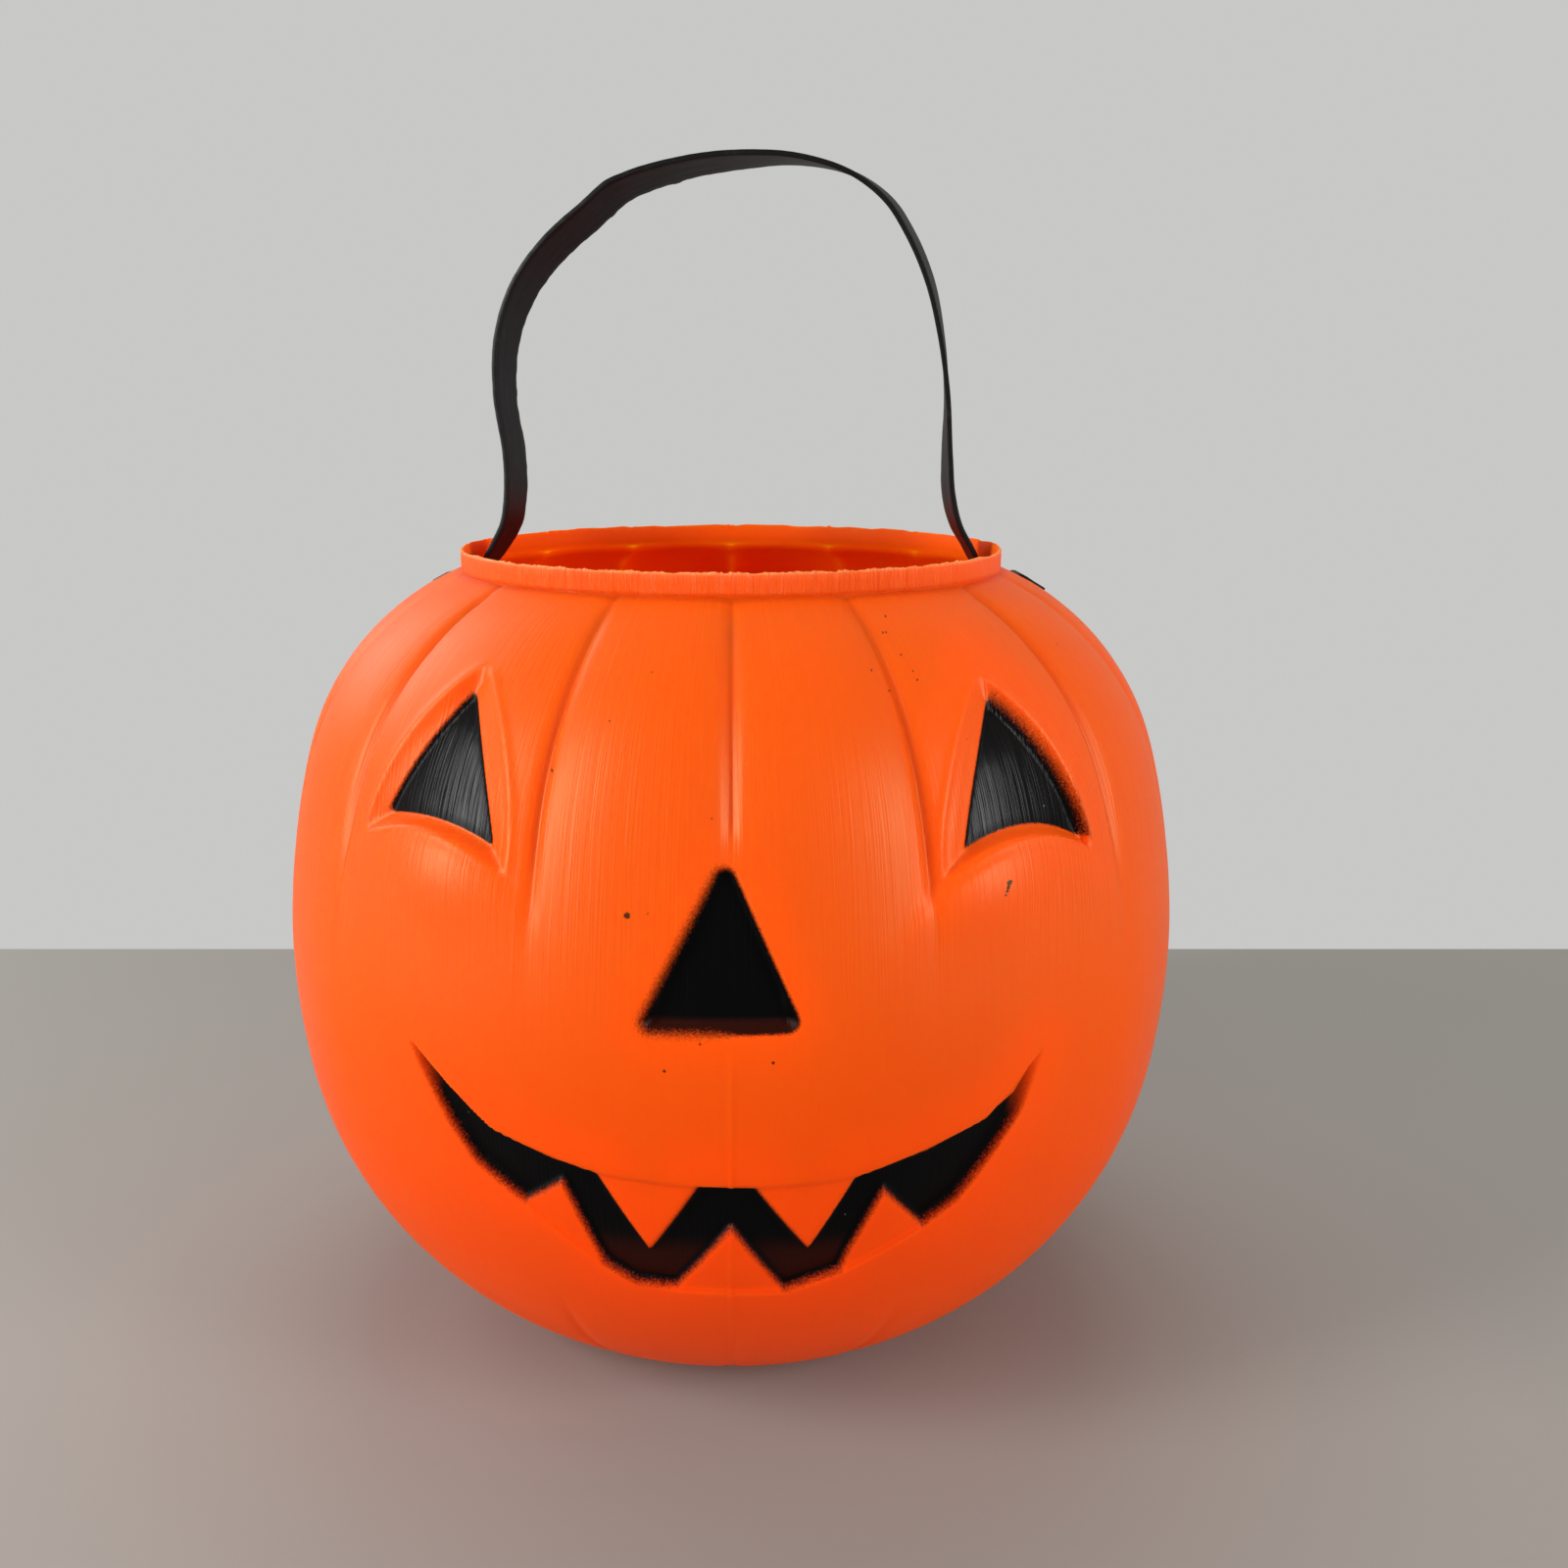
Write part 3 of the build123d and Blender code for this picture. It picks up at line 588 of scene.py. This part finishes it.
shellFinish = {
    "oranges": [(0.88, 0.088, 0.0008, 1), (0.92, 0.098, 0.0012, 1)],  # mixed in soft clouds
    "heelOrange": (0.94, 0.054, 0.0005, 1), "heelShare": 0.8, "heelHeights": (0.125, 0.045),  # redder towards the bottom
    "lineOrange": (0.82, 0.075, 0.001, 1), "lineShare": 0.12,
    # painted shade: darker red in the crease valleys, along the teeth and at the collar's foot
    "creaseShadeRed": (0.55, 0.030, 0.001, 1), "creaseShadeShare": 0.3, "collarFootShadeShare": 0.45,
    "rimOrange": (1.0, 0.36, 0.15, 1), "rimShare": 0.85,  # paler where it was cut
    "collarRed": (0.66, 0.045, 0.001, 1), "collarRedShare": 0.5,
    "collarPale": (0.98, 0.20, 0.04, 1), "collarPaleShare": 0.15,
    # painted light and shade inside: lighter than the outside, standing in for light through the wall, and
    # darker on the collar's inner face, where more light falls
    "insideLitOrange": (0.98, 0.125, 0.001, 1), "insideCollarShade": (0.76, 0.085, 0.001, 1),
    "speckBrown": (0.025, 0.006, 0.003, 1), "speckShare": 0.95,
    "paintBlack": (0.0010, 0.0011, 0.0013, 1), "paintDust": (0.30, 0.28, 0.26, 1),
    "lineStretch": (100.0, 12.0),  # round the pail and up it
    "lineScales": (0.9, 2.2), "lineBump": 0.8, "lineDepth": 0.0002, "collarLines": 2.0,
    "lowLines": 0.3, "lowLineHeights": (0.088, 0.125),  # the lines are weaker below
    "gritScale": 2600.0, "cloudScale": 14.0, "speckScale": 110.0, "dustScale": 160.0,
    "sprayGrit": 1.5, "speckGrit": 1.6, "paintBump": 1.0, "paintDepth": 0.00014,
    "dullShare": 0.8, "dullHeights": (0.130, 0.090), "dullSides": (0.080, 0.100),  # rubbed low on the belly
    "eyeInner": (0.030, 0.034), "eyeFoot": (0.126, 0.130),  # the shiny paint is inside these
    "thinGloss": 0.3, "thickPaint": (0.2, 2.6), "outerGloss": 0.65, "outerEye": (0.050, 0.066),
}


def orangePlastic():
    s = shellFinish
    f = Finish(bpy.data.materials.new("orangePlastic"))
    place = f.objectPlace()
    x, y, z = f.parts(place)
    edge, soft, thick = f.layer("paintCoat")
    # painted shade masks for the creases, the teeth line and the collar's foot, and which side is outside
    groove, collarFootShade, outside = f.layer("shadeAndSide")
    sideways = f.node("ShaderNodeMath", {"operation": "ABSOLUTE"}, {0: x})

    # fine upright lines left by the tool, spaced round the pail
    around = f.node("ShaderNodeMath", {"operation": "ARCTAN2"}, {0: x, 1: 0.0 - y})
    roundStretch, upStretch = s["lineStretch"]
    linePlace = f.node("ShaderNodeCombineXYZ", {}, {0: around * roundStretch, 1: z * upStretch, 2: 0.0})
    lines, fineLines = [f.noise(linePlace, scale, 2.0) for scale in s["lineScales"]]

    # paint edge broken up like spray
    grit = f.noise(place, s["gritScale"], 1.0)
    spray = edge / soft + (grit - 0.5) * s["sprayGrit"]
    cover = (1.0 - f.step(spray, -1.0, 1.0)) * thick

    # dark specks, a few scattered ones and those of the face
    cloud = f.noise(place, s["cloudScale"], 3.0)
    speck = f.dots(place, s["speckScale"], 0.012, 0.032) * f.step(cloud, 0.52, 0.58)
    front = f.step(0.0 - y, 0.02, 0.03)
    for spotX, spotZ, size in face["specks"]:
        across, upward = x - spotX * mm, z - spotZ * mm
        away = (across * across + upward * upward) / (size * mm) ** 2 + (grit - 0.5) * s["speckGrit"]
        speck = speck + front * (1.0 - f.step(away, 0.4, 1.3))
    speck = f.node("ShaderNodeClamp", {}, {0: speck})

    collar = f.step(z, collarFoot * mm, (collarFoot + 0.8) * mm)
    rim = f.step(z, (rimHeight - 0.7) * mm, (rimHeight - 0.1) * mm) * f.step(fineLines, 0.35, 0.6)
    orange = f.blendColour(cloud, *s["oranges"])
    for share, tint in [
        (f.step(z, *s["heelHeights"]) * s["heelShare"], s["heelOrange"]),
        (f.step(lines, 0.35, 0.75) * s["lineShare"], s["lineOrange"]),
        # painted shade, darker red in the crease valleys and along the teeth
        (f.step(groove, 0.45, 1.0) * s["creaseShadeShare"], s["creaseShadeRed"]),
        (speck * s["speckShare"], s["speckBrown"]),
        (rim * s["rimShare"], s["rimOrange"]),
        (collar * f.step(fineLines, 0.45, 0.7) * s["collarRedShare"], s["collarRed"]),
        (collar * f.step(lines, 0.5, 0.75) * s["collarPaleShare"], s["collarPale"]),
        # painted shade at the collar's foot
        (f.step(collarFootShade, 0.1, 0.9) * s["collarFootShadeShare"], s["creaseShadeRed"]),
    ]:
        orange = f.blendColour(share, orange, tint)
    lineHeight = s["lowLines"] + f.step(z, *s["lowLineHeights"]) * (1 - s["lowLines"])
    relief = (lines * 0.45 + fineLines * 0.65) * lineHeight + fineLines * collar * s["collarLines"]
    glossy = f.node("ShaderNodeBsdfPrincipled", {"subsurface_method": "RANDOM_WALK"},
                    {"Base Color": orange, "Roughness": 0.36 + lines * 0.10,
                     "Normal": f.bump(relief, s["lineBump"], s["lineDepth"]), "IOR": 1.5,
                     "Specular IOR Level": 0.38, "Specular Tint": (1.0, 0.87, 0.44, 1),
                     "Subsurface Weight": 0.8, "Subsurface Radius": (1.0, 0.30, 0.08),
                     "Subsurface Scale": 0.0045})

    # the inside is matte, and so is the outside where it is rubbed dull
    dull = f.step(z, *s["dullHeights"]) * (1.0 - f.step(sideways, *s["dullSides"])) * s["dullShare"]
    # painted light inside, with painted shade on the collar's inner face
    inside = f.blendColour(f.step(z, (collarFoot - 1.0) * mm, (collarFoot + 1.5) * mm),
                           s["insideLitOrange"], s["insideCollarShade"])
    matte = f.node("ShaderNodeBsdfPrincipled", {"subsurface_method": "RANDOM_WALK"},
                   {"Base Color": f.blendColour(outside, inside, orange), "Roughness": 0.6, "IOR": 1.5,
                    "Specular IOR Level": 0.08, "Subsurface Weight": 0.8,
                    "Subsurface Radius": (1.0, 0.40, 0.08), "Subsurface Scale": 0.006})
    plastic = f.mixShader(outside * (1.0 - dull), matte, glossy)

    # the eyes are shinier than nose and mouth, most where the paint is thick
    streaks = f.bump(fineLines, s["paintBump"], s["paintDepth"])
    dust = f.dots(place, s["dustScale"], 0.012, 0.03) * f.step(cloud, 0.48, 0.54)
    black = f.blendColour(dust, s["paintBlack"], s["paintDust"])
    gloss = f.step(sideways, *s["eyeInner"]) * f.step(z, *s["eyeFoot"])
    gloss = gloss * (s["thinGloss"] + f.step(0.0 - edge, *s["thickPaint"]) * (1 - s["thinGloss"]))
    gloss = gloss * (1.0 - f.step(sideways, *s["outerEye"]) * s["outerGloss"])
    satin = f.node("ShaderNodeBsdfPrincipled", {},
                   {"Base Color": black, "Roughness": 0.34 + lines * 0.12, "Normal": streaks,
                    "IOR": 1.5, "Specular IOR Level": 0.06})
    shiny = f.node("ShaderNodeBsdfPrincipled", {},
                   {"Base Color": black, "Roughness": 0.19, "Normal": streaks, "IOR": 1.245})
    return f.close(f.mixShader(cover, plastic, f.mixShader(gloss, satin, shiny)))


# Strap: one springy strip, out through both slots and over the mouth

strap = {
    "width": 12.0, "neckWidth": 8.0, "thickness": 1.2, "setBack": 5.0,
    # sideways place, height, and how far the far edge leans in over the near one
    "route": [(-72.8, 177.8, 0.0), (-70.6, 178.9, 0.0), (-68.6, 179.0, 0.0), (-66.4, 178.3, 0.0),
              (-63.2, 178.2, 0.2), (-61.2, 181.6, 1.4), (-58.2, 186.6, 2.3), (-55.5, 192.0, 2.9),
              (-54.4, 198.5, 3.1), (-54.3, 206.9, 3.0), (-56.1, 222.2, 3.0), (-55.3, 234.9, 3.6),
              (-50.5, 247.5, 4.2), (-42.3, 257.5, 4.6), (-34.1, 264.2, 4.5), (-28.0, 269.0, 4.3),
              (-25.2, 270.1, 3.7), (-14.0, 273.2, 2.7), (3.8, 275.1, 1.3), (16.0, 274.2, -0.4),
              (29.6, 269.5, -2.2), (36.2, 264.2, -2.9), (41.0, 257.2, -3.1), (45.7, 247.5, -2.9),
              (49.3, 234.9, -2.2), (51.5, 222.2, -1.4), (52.8, 206.9, 0.0), (53.8, 198.0, 0.6),
              (55.9, 190.7, 0.5), (58.4, 186.4, 0.3), (61.0, 181.6, 0.2), (63.2, 178.2, 0.0),
              (66.8, 178.4, 0.0), (70.4, 179.4, 0.0), (73.6, 177.7, 0.0), (76.8, 175.8, 0.0)],
    "burrs": [(-13.5, 273.3, 0.7), (-56.0, 222.0, 0.6), (-31.0, 266.6, 0.35)],  # sideways place, height, size
    "burrWidth": 1.3,
    "neckPlace": 11.5, "neckLength": 4.2, "tipLength": 2.5, "tipShare": 0.65,  # from each end
    "farTrim": (0.22, 0.12), "nearTrim": 0.1,  # unevenness of the two cut edges
    "edgeRound": 0.18, "sharpEdge": 1.0, "tangentStep": 0.002,
    "stations": 300, "across": 8,
    "bendStart": 0.186, "bendEnd": 0.226,
    "black": (0.0035, 0.003, 0.0033, 1), "dusty": (0.022, 0.020, 0.020, 1), "dustShare": 0.5,
    "drawnScale": (90.0, 900.0, 90.0), "dustScale": 420.0,
}


def strapCurve(stations):  # smooth line through the route's points
    route = np.array(strap["route"])
    step = np.hypot(np.diff(route[:, 0]), np.diff(route[:, 1]))
    along = np.concatenate([[0], np.cumsum(step)])
    slope = np.gradient(route, along, axis=0)
    t = stations * along[-1]
    k = np.clip(np.searchsorted(along, t) - 1, 0, len(along) - 2)
    run = (along[k + 1] - along[k])[:, None]
    u = ((t - along[k]) / (along[k + 1] - along[k]))[:, None]
    return ((2 * u ** 3 - 3 * u ** 2 + 1) * route[k] + (u ** 3 - 2 * u ** 2 + u) * run * slope[k]
            + (3 * u ** 2 - 2 * u ** 3) * route[k + 1] + (u ** 3 - u ** 2) * run * slope[k + 1]), along[-1]


def buildStrap():
    bm = bmesh.new()
    bmesh.ops.create_grid(bm, x_segments=strap["stations"], y_segments=strap["across"], size=0.5)
    place = np.array([v.co for v in bm.verts])
    along, across = place[:, 0] + 0.5, place[:, 1]
    point, length = strapCurve(along)
    before, _ = strapCurve(np.clip(along - strap["tangentStep"], 0, 1))
    after, _ = strapCurve(np.clip(along + strap["tangentStep"], 0, 1))
    run = after[:, :2] - before[:, :2]
    run /= np.hypot(run[:, 0], run[:, 1])[:, None]
    inward = np.stack([run[:, 1], -run[:, 0]], axis=1)  # towards the inside of the loop
    lean = point[:, 2]
    # narrow where it goes through the slots, round at the tips
    fromEnd = np.minimum(along, 1 - along) * length
    neck = np.exp(-((fromEnd - strap["neckPlace"]) / strap["neckLength"]) ** 4)
    width = strap["width"] - (strap["width"] - strap["neckWidth"]) * neck
    tip = np.sqrt(np.clip(1 - (1 - np.clip(fromEnd / strap["tipLength"], 0, 1)) ** 2, 0, 1))
    width *= tip * (1 - strap["tipShare"]) + strap["tipShare"]
    # cut edges, uneven and with burrs
    coarse, fine = strap["farTrim"]
    farTrim = coarse * wobble(along * 90, 1.0) + fine * wobble(along * 310, 4.0)
    nearTrim = strap["nearTrim"] * wobble(along * 120, 7.0)
    side = np.where(across > 0, farTrim, nearTrim) * np.abs(across) * 2
    for burrX, burrZ, size in strap["burrs"]:
        gap = np.hypot(point[:, 0] - burrX, point[:, 1] - burrZ)
        side = side + np.where(across > 0.3, size * bell(gap, strap["burrWidth"]), 0)
    reach = across * width + np.sign(across) * side
    lift = lean / strap["width"]
    middle = point[:, :2] + inward * (lean / 2)[:, None]
    x = middle[:, 0] + inward[:, 0] * lift * reach
    y = strap["setBack"] + np.sqrt(1 - lift ** 2) * reach
    z = middle[:, 1] + inward[:, 1] * lift * reach
    for k, v in enumerate(bm.verts):
        v.co = (x[k], y[k], z[k])
    bmesh.ops.recalc_face_normals(bm, faces=bm.faces)
    bmesh.ops.solidify(bm, geom=bm.faces[:], thickness=strap["thickness"])
    bmesh.ops.recalc_face_normals(bm, faces=bm.faces)
    sharp = [e for e in bm.edges if len(e.link_faces) == 2 and e.calc_face_angle() > strap["sharpEdge"]]
    bmesh.ops.bevel(bm, geom=sharp, offset=strap["edgeRound"], segments=2, profile=0.5,
                    affect="EDGES", material=-1)
    return bm


def blackStrip():
    f = Finish(bpy.data.materials.new("blackStrip"))
    place = f.objectPlace()
    stretch = f.node("ShaderNodeMapping", {}, {"Vector": place, "Scale": strap["drawnScale"]})
    drawn = f.noise(stretch, 1.0, 3.0)
    dust = f.noise(place, strap["dustScale"], 3.0)
    colour = f.blendColour(f.step(dust, 0.55, 0.85) * strap["dustShare"], strap["black"], strap["dusty"])
    return f.close(f.node("ShaderNodeBsdfPrincipled", {},
                          {"Base Color": colour, "Roughness": 0.34 + drawn * 0.22,
                           "Normal": f.bump(drawn, 0.3, 0.0001), "IOR": 1.5, "Specular IOR Level": 0.22}))


shellPiece = newPiece("pumpkinShell", buildShell(), orangePlastic())
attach(shellPiece, "pail")
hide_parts("pail_shell", "left_eye_paint", "right_eye_paint", "nose_paint", "mouth_paint")
print("shell:", len(shellPiece.data.polygons), "faces")

strapPiece = newPiece("strapHandle", buildStrap(), blackStrip())
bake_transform(strapPiece)
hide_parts("strap_loop", "left_strap_end", "right_strap_end")
print("strap:", len(strapPiece.data.polygons), "faces")


# Stage, light and camera

studio = {
    "floorSize": 4.0, "floorBack": 0.217, "floorColour": (0.29, 0.278, 0.254), "floorShade": 0.97,
    "wallColour": (0.58, 0.58, 0.57, 1), "roomColour": (1.0, 0.99, 0.97, 1), "roomStrength": 0.33,
    "lamps": [  # name, place, aim, width, height, watts, seen in reflections
        ("leftWindow", (-0.94, -0.46, 0.50), (0, 0, 0.13), 0.30, 0.80, 12.0, True),
        ("rightWindow", (0.96, -0.60, 0.45), (0, 0, 0.13), 0.34, 0.65, 8.2, True),
        ("backWindow", (-0.85, 0.65, 0.66), (0, 0, 0.15), 0.60, 0.60, 2.6, True),
        ("frontFill", (-0.15, -1.20, 0.24), (0, 0, 0.02), 1.20, 0.44, 2.8, False),
        ("backFill", (0.0, 0.65, 1.30), (0, 0.05, 0.12), 1.00, 1.00, 8.0, False),
    ],
    "cameraPlace": (0.0, -0.3537, 0.2172), "cameraTilt": 75.66, "lens": 33.28, "shift": 0.0338,
}


def floorFinish():
    f = Finish(bpy.data.materials.new("paleFloor"))
    tone = f.noise(f.objectPlace(), 3.0, 3.0)
    pale = studio["floorColour"]
    shade = tuple(channel * studio["floorShade"] for channel in pale)
    return f.close(f.node("ShaderNodeBsdfPrincipled", {},
                          {"Base Color": f.blendColour(tone, shade + (1,), pale + (1,)),
                           "Roughness": 0.62, "Specular IOR Level": 0.25}))


def addFloor():
    bm = bmesh.new()
    bmesh.ops.create_grid(bm, x_segments=2, y_segments=2, size=studio["floorSize"] / mm)
    bmesh.ops.translate(bm, vec=(0, (studio["floorBack"] - studio["floorSize"]) / mm, 0), verts=bm.verts)
    floor = newPiece("studioFloor", bm, floorFinish())


def addRoom():  # soft light all round, and a pale wall that only the camera sees
    room = Finish(bpy.data.worlds.new("studioWorld"))
    shown = room.node("ShaderNodeLightPath", {}, {}, out="Is Camera Ray")
    light = room.node("ShaderNodeBackground", {},
                      {"Color": studio["roomColour"], "Strength": studio["roomStrength"]})
    wall = room.node("ShaderNodeBackground", {}, {"Color": studio["wallColour"], "Strength": 1.0})
    bpy.context.scene.world = room.close(room.mixShader(shown, light, wall), "ShaderNodeOutputWorld")


def addLamps():
    for name, place, aim, width, height, watts, shows in studio["lamps"]:
        data = bpy.data.lights.new(name, "AREA")
        data.shape = "RECTANGLE"
        data.size = width
        data.size_y = height
        data.energy = watts
        lamp = bpy.data.objects.new(name, data)
        lamp.visible_glossy = shows
        bpy.context.scene.collection.objects.link(lamp)
        away = np.subtract(place, aim)
        lamp.location = place
        lamp.rotation_euler = (math.acos(away[2] / np.linalg.norm(away)), 0, math.atan2(away[0], -away[1]))


def addCamera():
    data = bpy.data.cameras.new("photoCamera")
    data.lens = studio["lens"]
    data.sensor_width = 36.0
    data.shift_x = studio["shift"]
    data.clip_start = 0.01
    camera = bpy.data.objects.new("photoCamera", data)
    bpy.context.scene.collection.objects.link(camera)
    camera.location = studio["cameraPlace"]
    camera.rotation_euler = (math.radians(studio["cameraTilt"]), 0, 0)
    bpy.context.scene.camera = camera


addFloor()
addRoom()
addLamps()
addCamera()
bpy.context.scene.view_settings.view_transform = "Standard"
print("stage set")
